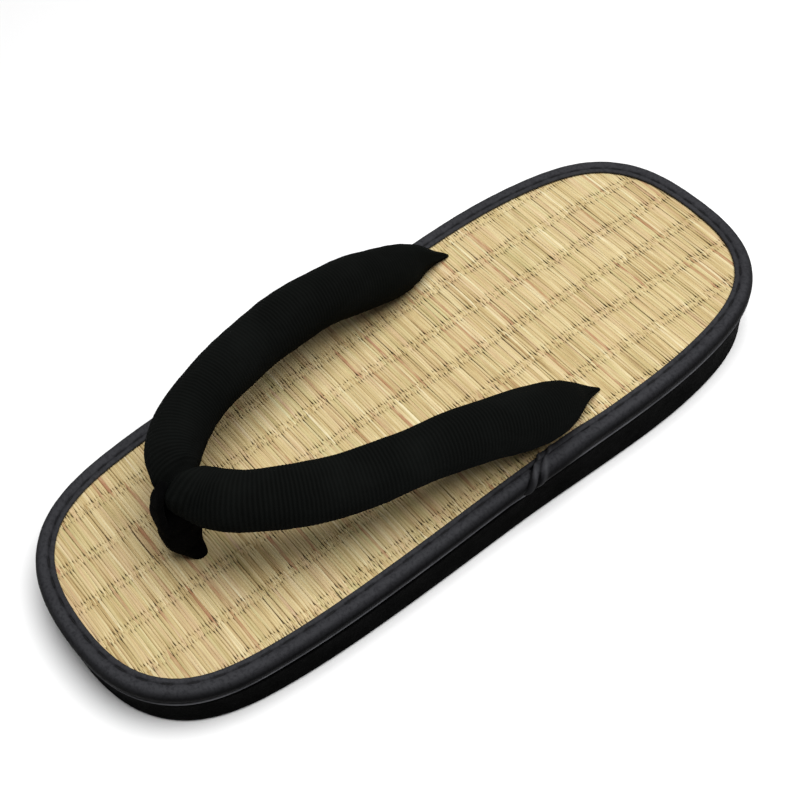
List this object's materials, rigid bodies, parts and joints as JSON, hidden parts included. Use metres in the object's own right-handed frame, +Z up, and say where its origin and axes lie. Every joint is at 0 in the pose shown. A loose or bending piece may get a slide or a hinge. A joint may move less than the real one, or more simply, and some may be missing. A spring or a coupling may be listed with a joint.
{
  "type": "zori sandal",
  "caption": "Flat thonged sandal: foam wedge sole, bound woven rush footbed, padded cloth V straps and a toe post.",
  "frame": {"origin": "middle of the footprint's bounding box, on the ground plane under the sole", "axes": "+Y towards the toe, +Z up from the ground, +X to the right of a foot that points along +Y"},
  "size_m": [0.1048, 0.2648, 0.0609],
  "materials": {
    "foam_sole": "matte black closed-cell foam",
    "rush_mat": "woven rush stalks, dry straw colour with a low sheen",
    "vinyl_binding": "satin black vinyl tape",
    "padded_cloth": "matte black cloth over soft padding",
    "velvet_post": "deep black napped cloth"
  },
  "bodies": {
    "root": {"foam_outsole": "foam_sole", "rush_footbed": "rush_mat", "edge_binding": "vinyl_binding", "hanao_straps": "padded_cloth", "toe_post": "velvet_post"}
  },
  "joints": []
}
